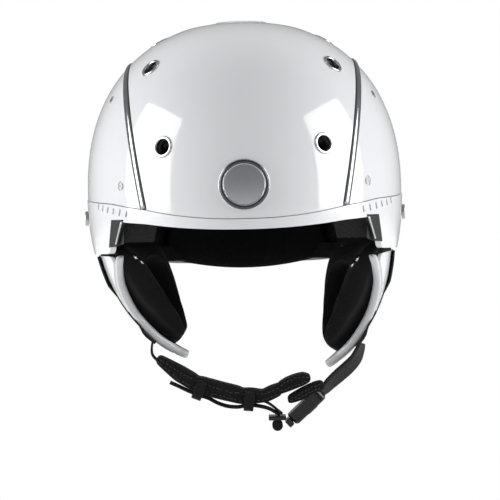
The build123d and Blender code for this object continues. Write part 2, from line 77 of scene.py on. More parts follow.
softbox("softbox_left", Vector((-1.7, -0.35, 0.25)), (1.3, 2.0), 37)
softbox("softbox_right", Vector((1.7, -0.35, 0.25)), (1.3, 2.0), 37)
softbox("softbox_top", Vector((0, 1.15, 1.5)), (1.7, 0.9), 20, shines=False)
softbox("softbox_back", Vector((0, 1.9, 0.5)), (1.8, 1.2), 14, shines=False)

world = bpy.data.worlds.new("studio")
world.use_nodes = True
bpy.context.scene.world = world
studio_grey = 0.23
ray = world.node_tree.nodes.new("ShaderNodeLightPath")
mixer = world.node_tree.nodes.new("ShaderNodeMix")
mixer.data_type = "RGBA"
mixer.inputs["A"].default_value = (studio_grey, studio_grey * 1.01, studio_grey * 1.03, 1)
mixer.inputs["B"].default_value = (1, 1, 1, 1)
world.node_tree.links.new(ray.outputs["Is Camera Ray"], mixer.inputs["Factor"])
world.node_tree.links.new(mixer.outputs["Result"], world.node_tree.nodes["Background"].inputs["Color"])

floor_mesh = bpy.data.meshes.new("floor")
floor_mesh.from_pydata([(-3, -3, -0.2), (3, -3, -0.2), (3, 3, -0.2), (-3, 3, -0.2)], [], [(0, 1, 2, 3)])
floor = bpy.data.objects.new("floor", floor_mesh)
bpy.context.scene.collection.objects.link(floor)
paper = bpy.data.materials.new("white_paper")
paper.use_nodes = True
links = paper.node_tree.links
seen = paper.node_tree.nodes.new("ShaderNodeLightPath")
lit = paper.node_tree.nodes.new("ShaderNodeEmission")
either = paper.node_tree.nodes.new("ShaderNodeMixShader")
paper.node_tree.nodes["Principled BSDF"].inputs["Base Color"].default_value = (0.8, 0.8, 0.8, 1)
links.new(seen.outputs["Is Camera Ray"], either.inputs[0])
links.new(paper.node_tree.nodes["Principled BSDF"].outputs[0], either.inputs[1])
links.new(lit.outputs[0], either.inputs[2])
links.new(either.outputs[0], paper.node_tree.nodes["Material Output"].inputs["Surface"])
floor_mesh.materials.append(paper)


# ---- Outer shell --------------------------------------------------------------------------------
# One injection-moulded shell of hard plastic, sprayed white under a clear coat.
# Every panel of it lies on one ovoid, so its faces are shaded by that ovoid's own normals.
half_width, front_reach, back_reach = 0.116, 0.131, 0.146
crown_height, lower_depth, fullness = 0.1244, 0.134, 2.25


def level(p, inset=0.0):
    """1 on the ovoid that lies inset inside the shell's outer face, less inside it."""
    reach = front_reach if p.y < 0 else back_reach
    rise = crown_height if p.z > 0 else lower_depth
    plan = (p.x / (half_width - inset)) ** 2 + (p.y / (reach - inset)) ** 2
    return plan ** (fullness / 2) + abs(p.z / (rise - inset)) ** fullness


def outward(p):
    """The ovoid's unit normal at a place."""
    reach = front_reach if p.y < 0 else back_reach
    rise = crown_height if p.z > 0 else lower_depth
    share = ((p.x / half_width) ** 2 + (p.y / reach) ** 2) ** (fullness / 2 - 1)
    steep = abs(p.z) ** (fullness - 1) / rise ** fullness
    return Vector((share * p.x / half_width ** 2, share * p.y / reach ** 2,
                   steep if p.z > 0 else -steep)).normalized()


def drop_to(x, z, proud=0.0):
    """The place on the front of the shell with this x and z, and the normal there."""
    rise = crown_height if z > 0 else lower_depth
    plan = (1 - abs(z / rise) ** fullness) ** (2 / fullness) - (x / half_width) ** 2
    p = Vector((x, -front_reach * sqrt(plan), z))
    n = outward(p)
    return p + n * proud, n


class Wire:
    """A socket of a finish that can be added, multiplied and compared."""

    def __init__(self, finish, socket):
        self.finish = finish
        self.socket = socket

    def maths(self, operation, *values):
        return self.finish.add("ShaderNodeMath", {"operation": operation}, values)

    def __add__(self, other):
        return self.maths("ADD", self, other)

    def __sub__(self, other):
        return self.maths("SUBTRACT", self, other)

    def __rsub__(self, other):
        return self.maths("SUBTRACT", other, self)

    def __mul__(self, other):
        return self.maths("MULTIPLY", self, other)

    __radd__ = __add__
    __rmul__ = __mul__

    def wave(self):
        return self.maths("SINE", self)

    def size(self):
        return self.maths("ABSOLUTE", self)

    def root(self):
        return self.maths("SQRT", self)

    def ramp(self, low, high):
        """0 at low, 1 at high, smooth between."""
        return self.finish.add("ShaderNodeMapRange", {"interpolation_type": "SMOOTHSTEP"},
                               {"Value": self, "From Min": low, "From Max": high})


class Finish:
    """A procedural material for one of the helmet's stuffs."""

    def __init__(self, name):
        self.material = bpy.data.materials.new(name)
        self.material.use_nodes = True
        self.tree = self.material.node_tree
        self.shader = self.tree.nodes["Principled BSDF"]

    def add(self, kind, settings=None, values=(), out=0):
        """Add any node, set it up, feed its sockets and give one of its outputs."""
        node = self.tree.nodes.new(kind)
        for name, value in (settings or {}).items():
            setattr(node, name, value)
        pairs = values.items() if isinstance(values, dict) else enumerate(values)
        for name, value in pairs:
            self.feed(node.inputs[name], value)
        return Wire(self, node.outputs[out])

    def feed(self, socket, value):
        if isinstance(value, Wire):
            self.tree.links.new(value.socket, socket)
        elif isinstance(value, tuple) and len(value) == 3 and socket.type == "RGBA":
            socket.default_value = (*value, 1)
        else:
            socket.default_value = value

    def place(self):
        return self.add("ShaderNodeTexCoord", out="Object")

    def noise(self, at, scale, detail=2.0, rough=0.5):
        values = {"Vector": at, "Scale": scale, "Detail": detail, "Roughness": rough}
        return self.add("ShaderNodeTexNoise", {}, values)

    def stretched(self, at, scale):
        return self.add("ShaderNodeVectorMath", {"operation": "MULTIPLY"}, (at, scale))

    def parts(self, at):
        """The x, y and z of a place."""
        node = self.tree.nodes.new("ShaderNodeSeparateXYZ")
        self.feed(node.inputs[0], at)
        return [Wire(self, node.outputs[i]) for i in range(3)]

    def blend(self, share, first, second):
        """A colour between two colours."""
        node = self.tree.nodes.new("ShaderNodeMix")
        node.data_type = "RGBA"
        self.feed(node.inputs["Factor"], share)
        self.feed(node.inputs["A"], first)
        self.feed(node.inputs["B"], second)
        return Wire(self, node.outputs["Result"])

    def bump(self, height, depth):
        return self.add("ShaderNodeBump", {}, {"Height": height, "Distance": depth}, "Normal")

    def set(self, **values):
        for name, value in values.items():
            self.feed(self.shader.inputs[name.replace("_", " ")], value)
        return self.material


def lacquer(name, tint, peel):
    """Sprayed colour under a clear coat, with a faint orange peel and soft handling marks."""
    f = Finish(name)
    at = f.place()
    broad = f.noise(at, 9.0, 3.0)
    fine = f.noise(at, 380.0, 2.0)
    rub = f.noise(f.stretched(at, (60, 60, 14)), 6.0, 4.0, 0.7).ramp(0.58, 0.8)
    colour = f.blend(broad.ramp(0.3, 0.7), tint, tuple(0.98 * c for c in tint))
    return f.set(Base_Color=colour, Roughness=0.1 + 0.05 * rub + 0.02 * broad, IOR=1.5, Coat_Weight=0.5,
                 Coat_Roughness=0.02, Normal=f.bump(fine, 0.00002 * peel))


def moulded(name, shade, rough, grain, depth):
    """Moulded nylon, fine grained, a little paler where it is handled."""
    f = Finish(name)
    at = f.place()
    pits = f.add("ShaderNodeTexVoronoi", {}, {"Vector": at, "Scale": grain}, "Distance")
    worn = f.noise(at, 90.0, 4.0, 0.6).ramp(0.45, 0.75)
    colour = f.blend(worn, (shade, shade, shade * 1.08), (shade * 1.9, shade * 1.9, shade * 2.0))
    return f.set(Base_Color=colour, Roughness=rough + 0.08 * worn, IOR=1.5, Normal=f.bump(pits, depth))


def show(name, mesh, body, slot, *finishes, instead_of=()):
    """Put a new piece in the scene, fixed to a body and dressed in its finishes."""
    piece = bpy.data.objects.new(name, mesh)
    bpy.context.scene.collection.objects.link(piece)
    mesh.materials.clear()
    for finish in finishes:
        mesh.materials.append(finish)
    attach(piece, body)
    if instead_of:
        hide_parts(*instead_of)
    return piece


def domed(node, insets, unturn=None):
    """A copy of a CAD node's mesh whose faces on the ovoid carry its true normals."""
    mesh = nodes[node].data.copy()
    back = unturn or Matrix.Identity(4)
    turn = back.inverted().to_3x3()
    places = [back @ v.co for v in mesh.vertices]
    normals = [c.vector.copy() for c in mesh.corner_normals]
    inner = []
    for face in mesh.polygons:
        face.use_smooth = True
        face.material_index = 0
        for inset in insets:
            if max(abs(level(places[v], inset) - 1) for v in face.vertices) < 0.004:
                true = [turn @ outward(places[v]) for v in face.vertices]
                side = face.normal.dot(true[0])
                if abs(side) > 0.85:
                    for corner, normal in zip(face.loop_indices, true):
                        normals[corner] = normal if side > 0 else -normal
                    if side < 0:
                        inner.append(face.index)
                break
    mesh.normals_split_custom_set(normals)
    return mesh, inner


shell_white = lacquer("shell_lacquer", (0.83, 0.84, 0.86), 1.0)
raw_black = moulded("raw_black", 0.012, 0.5, 700.0, 0.00005)
shell_mesh, shell_inside = domed("outer_shell", (0.0, 0.003))
for at in shell_inside:
    shell_mesh.polygons[at].material_index = 1
show("shell", shell_mesh, "helmet", "shell_white", shell_white, raw_black, instead_of=("outer_shell",))

# ---- Rim band -----------------------------------------------------------------------------------
# A second white moulding round the shell's lower edge, with six shallow slanted slits a side.
# It clips up inside the shell and leaves a fine shadow line; its inner face is bare black plastic.
rim_white = lacquer("rim_lacquer", (0.85, 0.86, 0.88), 1.0)
rim_mesh, rim_inside = domed("rim_band", (-0.0005, 0.003))
for face in rim_mesh.polygons:
    edge = min(abs(level(rim_mesh.vertices[v].co, -0.0005) - 1) for v in face.vertices) > 0.004
    ahead = (abs(face.normal.dot(outward(face.center))) < 0.8
             and (face.normal.y < -0.4 or face.normal.z < -0.3))
    if face.index in rim_inside or ahead and face.center.z < -0.022 or edge:
        face.material_index = 1
show("rim", rim_mesh, "helmet", "rim_white", rim_white, raw_black, instead_of=("rim_band",))


def shell_patch(turns, heights, inset, thick):
    """A thin curved plate inside the shell's wall, between turns about Z and heights."""
    shape = bmesh.new()
    across, up = 24, 4
    rows = []
    for depth in (inset, inset + thick):
        for j in range(up + 1):
            row = []
            for i in range(across + 1):
                turn = turns[0] + (turns[1] - turns[0]) * i / across
                z = heights[0] + (heights[1] - heights[0]) * j / up
                rise = (crown_height if z > 0 else lower_depth) - depth
                swell = (1 - abs(z / rise) ** fullness) ** (1 / fullness)
                x = (half_width - depth) * sin(turn) * swell
                y = -(front_reach - depth) * cos(turn) * swell
                row.append(shape.verts.new((x, y, z)))
            rows.append(row)
    layers = rows[:up + 1], rows[up + 1:]
    for skin, layer in enumerate(layers):
        for j in range(up):
            for i in range(across):
                quad = [layer[j][i], layer[j][i + 1], layer[j + 1][i + 1], layer[j + 1][i]]
                shape.faces.new(quad if skin == 0 else quad[::-1])
    rims = [(0, i, 0, i + 1) for i in range(across)] + [(j, across, j + 1, across) for j in range(up)]
    rims += [(up, i + 1, up, i) for i in range(across)] + [(j + 1, 0, j, 0) for j in range(up)]
    for j0, i0, j1, i1 in rims:
        shape.faces.new([layers[1][j0][i0], layers[1][j1][i1], layers[0][j1][i1], layers[0][j0][i0]])
    return finished(shape, "patch")


def finished(shape, name, smooth=True):
    """Turn a working shape into a mesh with outward faces."""
    bmesh.ops.recalc_face_normals(shape, faces=shape.faces)
    for face in shape.faces:
        face.smooth = smooth
    mesh = bpy.data.meshes.new(name)
    shape.to_mesh(mesh)
    shape.free()
    return mesh


# The grey plates behind the slits are painted shade, standing in for the shade inside the shallow slits.
slit_painted_shade = lacquer("slit_floor_painted_shade", (0.5, 0.51, 0.53), 1.0)
for side in (-1, 1):
    turns = sorted((side * radians(43), side * radians(68)))
    show("slit_floor_" + ("right", "left")[side > 0], shell_patch(turns, (-0.0215, -0.0105), 0.0009, 0.0004),
         "helmet", "rim_white", slit_painted_shade)

# ---- Trim strips --------------------------------------------------------------------------------
# Two half-round strips of plated metal, each lying in a black seal in a groove of the shell.
# They run from the rim band in front, over the crown, to the nape.
trim_offset, trim_toe, trim_lean = 0.0646, 0.09, 0.19


def trim_place(side, turn, proud=0.0):
    """Where the trim's plane meets the shell; turn is 0 ahead and half a turn behind."""
    low, high = 0.0, 0.3
    for _ in range(40):
        run = (low + high) / 2
        y, z = -run * cos(turn), run * sin(turn)
        p = Vector((trim_offset - trim_toe * y + trim_lean * z, y, z))
        if level(p) > 1:
            high = run
        else:
            low = run
    p.x *= side
    return p + outward(p) * proud


def swept(path, ups, profile, name, closed=False):
    """A profile of (across, up) points carried along a path whose up directions are given."""
    shape = bmesh.new()
    rings = []
    count = len(path)
    for i, (p, up) in enumerate(zip(path, ups)):
        ahead = path[(i + 1) % count] if closed or i + 1 < count else p
        behind = path[i - 1] if closed or i > 0 else p
        run = (ahead - behind).normalized()
        across = run.cross(up).normalized()
        rise = across.cross(run).normalized()
        rings.append([shape.verts.new(p + across * a + rise * h) for a, h in profile])
    steps = count if closed else count - 1
    for i in range(steps):
        here, there = rings[i], rings[(i + 1) % count]
        for j in range(len(profile)):
            k = (j + 1) % len(profile)
            shape.faces.new((here[j], here[k], there[k], there[j]))
    if not closed:
        shape.faces.new(rings[0][::-1])
        shape.faces.new(rings[-1])
    return finished(shape, name)


def plated(name, tint, rough, grain=(900, 900, 60)):
    """Polished plated metal with fine handling marks."""
    f = Finish(name)
    at = f.place()
    marks = f.noise(f.stretched(at, grain), 1.0, 3.0, 0.6)
    cloud = f.noise(at, 60.0, 3.0)
    colour = f.blend(cloud.ramp(0.3, 0.75), tint, tuple(0.88 * c for c in tint))
    return f.set(Base_Color=colour, Metallic=1.0, Roughness=rough + 0.1 * marks.ramp(0.4, 0.8),
                 Normal=f.bump(marks, 0.00001))


trim_metal = plated("trim_plating", (0.52, 0.53, 0.55), 0.16)
seal_black = moulded("seal_rubber", 0.02, 0.4, 500.0, 0.00003)
for side, name in ((1, "left"), (-1, "right")):
    node = "trim_strip_" + name
    turns = [atan2(v.co.z, -v.co.y) % (2 * pi) for v in nodes[node].data.vertices
             if hypot(v.co.y, v.co.z) > 0.05]
    turns = [t - 2 * pi if t > 1.5 * pi else t for t in turns]
    first, last = min(turns), max(turns)
    marks = [first + (last - first) * i / 150 for i in range(151)]
    path = [trim_place(side, t) for t in marks]
    ups = [outward(p) for p in path]
    bead = [(0.00205 * cos(radians(a)), 0.0001 + 0.0010 * sin(radians(a)) ** 0.8) for a in range(0, 181, 15)]
    show("trim_" + name, swept(path, ups, bead + [(-0.00205, -0.0008), (0.00205, -0.0008)], "trim"),
         "helmet", "trim_metal", trim_metal, instead_of=(node,))
    lip = [(0.0026, -0.0009), (0.0026, 0.0002), (0.0021, 0.0003),
           (-0.0021, 0.0003), (-0.0026, 0.0002), (-0.0026, -0.0009)]
    show("trim_seal_" + name, swept(path, ups, lip, "seal"), "helmet", "black_plastic", seal_black)

# ---- Vent inserts -------------------------------------------------------------------------------
# Ten turned and plated eyelets, pressed into the shell, each with a black sleeve through the liner.
# Their rims are rolled, so that each shows a bright ring round a dark bore.
def turned(centre, axis, outline, name, around=48, closed=True):
    """A body of revolution about an axis, from (radius, height) points."""
    shape = bmesh.new()
    loop = [shape.verts.new((r, 0, h)) for r, h in outline]
    edges = [shape.edges.new((a, b)) for a, b in zip(loop, loop[1:])]
    if closed:
        edges.append(shape.edges.new((loop[-1], loop[0])))
    bmesh.ops.spin(shape, geom=loop + edges, cent=(0, 0, 0), axis=(0, 0, 1), angle=2 * pi, steps=around,
                   use_duplicate=False)
    bmesh.ops.remove_doubles(shape, verts=shape.verts, dist=1e-6)
    stand = axis.to_track_quat("Z", "Y").to_matrix().to_4x4()
    bmesh.ops.transform(shape, matrix=Matrix.Translation(centre) @ stand, verts=shape.verts)
    return finished(shape, name)


def joined(meshes, name):
    """Several meshes as one."""
    shape = bmesh.new()
    for mesh in meshes:
        shape.from_mesh(mesh)
        bpy.data.meshes.remove(mesh)
    whole = bpy.data.meshes.new(name)
    shape.to_mesh(whole)
    shape.free()
    return whole


def top_of(x, y):
    """The place on the shell above a point in plan, and the normal there."""
    reach = front_reach if y < 0 else back_reach
    plan = (x / half_width) ** 2 + (y / reach) ** 2
    p = Vector((x, y, crown_height * (1 - plan ** (fullness / 2)) ** (1 / fullness)))
    return p, outward(p)


vent_metal = plated("vent_plating", (0.84, 0.85, 0.86), 0.08)
vent_spots = {"front": ((0.0566, -0.1113), (0.0654, -0.0655)), "top": ((0.061, 0.008),),
              "rear": ((0.058, 0.078), (0.047, 0.122))}
bead = [(6.55 + 1.05 * cos(radians(a)), 0.15 + 0.75 * sin(radians(a))) for a in range(-20, 181, 20)]
eyelet = [(r / 1000, h / 1000)
          for r, h in bead + [(5.3, -1.5), (5.3, -3.0), (5.9, -3.0), (6.1, -0.8), (7.5, -0.8)]]
sleeve = [(r / 1000, h / 1000) for r, h in ((5.2, -2.0), (5.2, -12.0), (6.1, -12.0), (6.1, -2.0))]
for zone, spots in vent_spots.items():
    eyelets, sleeves = [], []
    for x, y in spots:
        for side in (-1, 1):
            centre, axis = top_of(side * x, y)
            eyelets.append(turned(centre, axis, eyelet, "eyelet"))
            sleeves.append(turned(centre, axis, sleeve, "sleeve"))
    show("vent_eyelets_" + zone, joined(eyelets, "eyelets"), "helmet", "vent_metal", vent_metal,
         instead_of=("vent_inserts_" + zone,))
    show("vent_sleeves_" + zone, joined(sleeves, "sleeves"), "helmet", "black_plastic", raw_black)

# ---- Badge --------------------------------------------------------------------------------------
# A cast ring round a slightly domed satin disc with turned circles, bonded to the forehead.
# The disc is left plain; thin bright metal rings along the ring's two edges are painted highlights.
badge_height = 0.0035
badge_at = Vector((0, -front_reach, badge_height))
forward = Vector((0, -1, 0))


def wrapped(mesh, centre):
    """Bend a flat badge round the shell, keeping each point's height over it."""
    for vertex in mesh.vertices:
        p = vertex.co
        foot, normal = drop_to(p.x, p.z)
        vertex.co = foot + normal * (centre.y - p.y)
    return mesh


def brushed_circles(name, tint, rough):
    """Satin metal with fine circles turned about the badge's centre."""
    f = Finish(name)
    x, y, z = f.parts(f.place())
    away = (x * x + (z - badge_height) * (z - badge_height)).root()
    rings = (away * 9000.0).wave() * 0.5 + 0.5
    mottle = f.noise(f.place(), 160.0, 3.0)
    colour = f.blend(mottle, tint, tuple(0.9 * c for c in tint))
    return f.set(Base_Color=colour, Metallic=1.0, Roughness=rough + 0.06 * mottle,
                 Normal=f.bump(rings, 0.00001))


ring_metal = plated("badge_ring_metal", (0.13, 0.14, 0.155), 0.24)
disc_metal = brushed_circles("badge_disc_metal", (0.6, 0.62, 0.64), 0.3)
highlight_ring_metal = plated("badge_bezel_metal", (0.85, 0.86, 0.87), 0.12)
hoop = [(15.9 + 1.35 * cos(radians(a)), 0.6 + 1.6 * sin(radians(a)) ** 0.75) for a in range(0, 181, 15)]
hoop = [(r / 1000, h / 1000) for r, h in [(17.25, -0.1)] + hoop + [(14.55, -0.1)]]
ring_mesh = turned(badge_at, forward, hoop, "hoop", 96)
show("badge_hoop", wrapped(ring_mesh, badge_at), "helmet", "badge_rim_metal", ring_metal,
     instead_of=("badge_ring",))
# Thin bright metal rings on the ring's outer and inner edges are painted highlights.
for name, radius, wide, high in (("outer", 17.4, 0.35, 1.25), ("inner", 14.45, 0.28, 1.75)):
    edge = [(radius + wide * cos(radians(a)), high + wide * sin(radians(a))) for a in range(0, 181, 20)]
    edge = [(r / 1000, h / 1000) for r, h in [(radius + wide, -0.1)] + edge + [(radius - wide, -0.1)]]
    highlight_ring = wrapped(turned(badge_at, forward, edge, "highlight_ring", 96), badge_at)
    show("badge_bezel_" + name, highlight_ring, "helmet", "badge_rim_metal", highlight_ring_metal)
plate = [(r, 0.0012 + 0.0007 * (1 - (r / 0.0144) ** 2)) for r in [0.0144 * k / 16 for k in range(16, 0, -1)]]
plate = [(0.0144, -0.0001)] + plate + [(0.0, 0.0019)]
disc_mesh = turned(badge_at, forward, plate, "plate", 96, closed=False)
show("badge_plate", wrapped(disc_mesh, badge_at), "helmet", "badge_satin_metal", disc_metal,
     instead_of=("badge_disc",))

# ---- Panel screws and side buttons --------------------------------------------------------------
# Small slotted screws in dimples hold the side panels; a turned metal button stands at each side.
# Both are satin steel.
steel = plated("satin_steel", (0.6, 0.61, 0.63), 0.28)
for node in ("panel_screws", "side_button_left", "side_button_right"):
    nodes[node].data.materials.clear()
    nodes[node].data.materials.append(steel)

# ---- Impact liner -------------------------------------------------------------------------------
# A single block of black bead foam, steam-moulded to the inside of the shell.
# Its fused beads show on the surface.
def bead_foam(name, shade):
    """Moulded bead foam: paler beads with dark lines where they fused."""
    f = Finish(name)
    at = f.place()
    gap = f.add("ShaderNodeTexVoronoi", {"feature": "DISTANCE_TO_EDGE"},
                {"Vector": at, "Scale": 300.0}, "Distance")
    bead = gap.ramp(0.0, 0.16)
    tone = f.noise(at, 35.0, 3.0)
    colour = f.blend(bead * 0.6 + tone * 0.4, (shade * 0.5,) * 3, (shade * 1.5,) * 3)
    return f.set(Base_Color=colour, Roughness=0.62 + 0.2 * tone, Normal=f.bump(bead, 0.0003))


foam = bead_foam("bead_foam", 0.004)
liner_mesh, _ = domed("impact_liner", (0.0033, 0.0263))
show("liner", liner_mesh, "helmet", "liner_foam", foam, instead_of=("impact_liner",))

# ---- Ear pads -----------------------------------------------------------------------------------
# Thick foam pads in black brushed knit, each with a deep oval hollow over the ear.
# A piped seam runs round the hollow, and two press studs hold the front corner.
def knit(name, shade, scale, depth):
    """Brushed knit: rows of small loops under a soft nap, paler on the ribs."""
    f = Finish(name)
    at = f.place()
    x, y, z = f.parts(at)
    course = ((y + 0.3 * x) * scale).wave()
    rows = ((z + 0.15 * x) * scale * 0.8 + 1.2 * course.size()).wave()
    nap = f.noise(at, 2400.0, 2.0)
    loops = rows.size() * 0.6 + course.size() * 0.4
    shade_map = f.noise(at, 38.0, 4.0, 0.6)
    colour = f.blend(loops * 0.55 + shade_map * 0.45, (shade * 0.5,) * 3,
                     (shade * 1.7, shade * 1.7, shade * 1.78))
    return f.set(Base_Color=colour, Roughness=0.85 + 0.1 * nap, Sheen_Weight=0.03, Sheen_Roughness=0.4,
                 Specular_IOR_Level=0.2, Normal=f.bump(loops * 0.7 + nap * 0.5, depth))


def welded(node):
    """A CAD node's mesh with its faces joined up."""
    shape = bmesh.new()
    shape.from_mesh(nodes[node].data)
    bmesh.ops.remove_doubles(shape, verts=shape.verts, dist=1e-5)
    return finished(shape, node)


def cushion(name, mesh, body, slot, finish, grid, rounds, puff, instead_of=()):
    """A soft pad: a block remeshed, relaxed and puffed out a little, kept near its start."""
    piece = show(name, mesh, body, slot, finish, instead_of=instead_of)
    coarse = piece.modifiers.new("remesh", "REMESH")
    coarse.mode = "VOXEL"
    coarse.voxel_size = grid
    coarse.use_smooth_shade = True
    ease = piece.modifiers.new("ease", "SMOOTH")
    ease.iterations = rounds
    ease.factor = 0.5
    settle(piece)
    start = [v.co.copy() for v in piece.data.vertices]
    cloth = piece.modifiers.new("cloth", "CLOTH")
    cloth.settings.quality = 5
    cloth.settings.mass = 0.15
    cloth.settings.use_pressure = True
    cloth.settings.uniform_pressure_force = puff
    cloth.settings.effector_weights.gravity = 0
    cloth.collision_settings.use_collision = False
    cloth.point_cache.frame_start = 1
    cloth.point_cache.frame_end = 20
    for moment in range(1, 21):
        bpy.context.scene.frame_set(moment)
    settle(piece)
    bpy.context.scene.frame_set(1)
    most = 0.0016
    for vertex, was in zip(piece.data.vertices, start):
        moved = vertex.co - was
        if moved.length > most:
            vertex.co = was + moved * (most / moved.length)
    return piece


def settle(piece):
    """Apply every modifier of a piece."""
    view = bpy.context.evaluated_depsgraph_get()
    mesh = bpy.data.meshes.new_from_object(piece.evaluated_get(view))
    piece.modifiers.clear()
    piece.data = mesh


def on_pad(piece, points, lift):
    """Points moved to the nearest place on a piece, with the normals there."""
    view = bpy.context.evaluated_depsgraph_get()
    tree = BVHTree.FromObject(piece, view)
    found = [tree.find_nearest(p)[:2] for p in points]
    return [p + n * lift for p, n in found], [n for p, n in found]


def pressed(piece, points, depth, reach):
    """Sink a soft channel into a pad along points on it."""
    tree = KDTree(len(points))
    for i, p in enumerate(points):
        tree.insert(p, i)
    tree.balance()
    normals = [v.normal.copy() for v in piece.data.vertices]
    for vertex, normal in zip(piece.data.vertices, normals):
        away = tree.find(vertex.co)[2]
        if away < reach:
            vertex.co -= normal * depth * (1 - away / reach) ** 2


def refined(piece, levels=1):
    """One round of subdivision, the same in view and render."""
    fine = piece.modifiers.new("subdivision", "SUBSURF")
    fine.levels = levels
    fine.render_levels = levels


def stitched(name, places, normals, body, slot, finish, pitch, length, radius):
    """A row of short thread stitches lying along points."""
    shape = bmesh.new()
    run = 0.0
    for here, there, normal in zip(places, places[1:], normals):
        step = (there - here).length
        run += step
        if run >= pitch and step > 1e-6:
            run = 0.0
            along = (there - here).normalized()
            turn = along.to_track_quat("Z", "Y").to_matrix().to_4x4()
            middle = here + normal * radius * 0.4
            place = Matrix.Translation(middle) @ turn @ Matrix.Diagonal((radius, radius, length / 2, 1))
            bmesh.ops.create_icosphere(shape, subdivisions=2, radius=1.0, matrix=place)
    return show(name, finished(shape, name), body, slot, finish)


thread = Finish("thread").set(Base_Color=(0.025, 0.025, 0.028), Roughness=0.6, Sheen_Weight=0.3)
ear_knit = knit("ear_knit", 0.005, 2600.0, 0.00022)
piping = knit("piping", 0.011, 3400.0, 0.00012)
ear_open = radians(9.5)
hinge = Vector((0.1098, 0, -0.0456))
left_turn = Matrix.Translation(hinge) @ Matrix.Rotation(-ear_open, 4, "Y") @ Matrix.Translation(-hinge)
mirrored = Matrix.Diagonal((-1, 1, 1, 1))


def thinned(p):
    """The pad's front edge is thinner than its back edge, most of all at the top."""
    face = 0.0640 - 0.0210 * (-0.037 - p.z) / 0.064
    root = 0.110
    ahead = min(max((0.016 - p.y) / 0.052, 0.0), 1.0)
    ahead = ahead * ahead * (3 - 2 * ahead)
    inner = min(max((root - p.x) / (root - face), 0.0), 1.0)
    moved = p + Vector((max(0.42 * (p.z + 0.090), 0.0) * ahead * inner, 0, 0))
    behind = (p.y + 0.066) * 0.865 + (p.z + 0.037) * 0.502
    near = min(max(1 - behind / 0.030, 0.0), 1.0)
    depth = 0.120 * (1 - level(p) ** (1 / fullness))
    under = min(max((0.015 - depth) / 0.006, 0.0), 1.0)
    return moved + Vector((0, 0.865, 0.502)) * 0.0065 * near * under


ear_sides = (("left", "ear_left", left_turn), ("right", "ear_right", mirrored))
for side, body, place in ear_sides:
    pad = cushion("ear_cushion_" + side, welded("ear_pad_" + side), body, "ear_fabric", ear_knit,
                  0.0024, 45, 3.0, instead_of=("ear_pad_" + side,))
    unplace = place.inverted()
    for vertex in pad.data.vertices:
        vertex.co = place @ thinned(unplace @ vertex.co)
    hollow = [thinned(Vector((0.064 - 0.328 * (-0.039 - z), y, z))) for y, z in
              [(-0.009 + 0.0265 * cos(t), -0.076 + 0.0295 * sin(t))
               for t in [2 * pi * k / 160 for k in range(160)]]]
    seam, seam_up = on_pad(pad, [place @ p for p in hollow], 0.0)
    pressed(pad, seam, 0.0009, 0.0035)
    refined(pad)
    seam, seam_up = on_pad(pad, seam, 0.0001)
    seam = [(seam[i - 2] + seam[i - 1] + seam[i] + seam[(i + 1) % 160] + seam[(i + 2) % 160]) / 5
            for i in range(160)]
    cord_round = [(0.00075 * cos(t), 0.00075 * sin(t)) for t in [2 * pi * k / 8 for k in range(8)]]
    show("ear_piping_" + side, swept(seam, seam_up, cord_round, "piping", closed=True), body,
         "ear_fabric", piping)

studs = ((-0.055, -0.0395), (-0.0455, -0.0455))
# This plating is real on the ear studs and the retainer's stud, and is a painted highlight on the corner
# clips.
stud_metal_and_painted_highlight = plated("stud_plating_and_painted_highlight", (0.75, 0.76, 0.77), 0.12)
cap = [(2.6, -0.6), (2.6, 0.3), (2.3, 0.8), (1.6, 1.05), (1.1, 0.85), (0.8, 0.8), (0.0, 0.8), (0.0, -0.6)]
cap = [(r / 1000, h / 1000) for r, h in cap]
for side, body, place in ear_sides:
    pad = bpy.data.objects["ear_cushion_" + side]
    spots, outs = on_pad(pad, [place @ Vector((0.0705, y, z)) for y, z in studs], 0.0)
    caps = [turned(p, n, cap, "cap", 32, closed=False) for p, n in zip(spots, outs)]
    show("ear_studs_" + side, joined(caps, "caps"), body, "snap_metal", stud_metal_and_painted_highlight,
         instead_of=("ear_snaps_" + side,))

# ---- Ear cups -----------------------------------------------------------------------------------
# Thin white plates of the shell's own plastic, bent to its curve, that carry the ear pads.
# They hang from the shell's lower edge and flex outwards; the left one stands a little open.
cup_white = lacquer("cup_lacquer", (0.83, 0.84, 0.86), 1.0)
for side, unturn in (("left", left_turn.inverted()), ("right", None)):
    cup_mesh, _ = domed("ear_cup_" + side, (0.002, 0.0044), unturn)
    show("cup_" + side, cup_mesh, "ear_" + side, "cup_white", cup_white, instead_of=("ear_cup_" + side,))


def at_depth(y, z, inset):
    """The left side's place inside the shell with this y and z."""
    rise = (crown_height if z > 0 else lower_depth) - inset
    reach = (front_reach if y < 0 else back_reach) - inset
    plan = (1 - abs(z / rise) ** fullness) ** (2 / fullness) - (y / reach) ** 2
    return Vector(((half_width - inset) * sqrt(plan), y, z))


def smooth_line(points, per=10):
    """A smooth line through points."""
    line = []
    for i in range(len(points) - 1):
        a = points[max(i - 1, 0)]
        b, c = points[i], points[i + 1]
        d = points[min(i + 2, len(points) - 1)]
        for k in range(per):
            t = k / per
            line.append(0.5 * ((2 * b) + (c - a) * t + (2 * a - 5 * b + 4 * c - d) * t * t
                               + (3 * b - a - 3 * c + d) * t ** 3))
    return line + [points[-1]]


lip_line = [(-0.0610, -0.0465), (-0.0530, -0.0560), (-0.0420, -0.0690), (-0.0310, -0.0880),
            (-0.0215, -0.1060), (-0.0130, -0.1165), (-0.0040, -0.1205), (0.0060, -0.1175), (0.0150, -0.1105),
            (0.0250, -0.0960), (0.0345, -0.0780), (0.0385, -0.0620), (0.0400, -0.0470)]
lip_section = [(0.0016 * cos(2 * pi * k / 20), 0.0031 * sin(2 * pi * k / 20)) for k in range(20)]
for side, body, place in ear_sides:
    line = smooth_line([at_depth(y, z, 0.0053) for y, z in lip_line], 12)
    ups = [place.to_3x3() @ outward(p) for p in line]
    show("cup_lip_" + side, swept([place @ p for p in line], ups, lip_section, "lip"), body,
         "cup_white", cup_white)

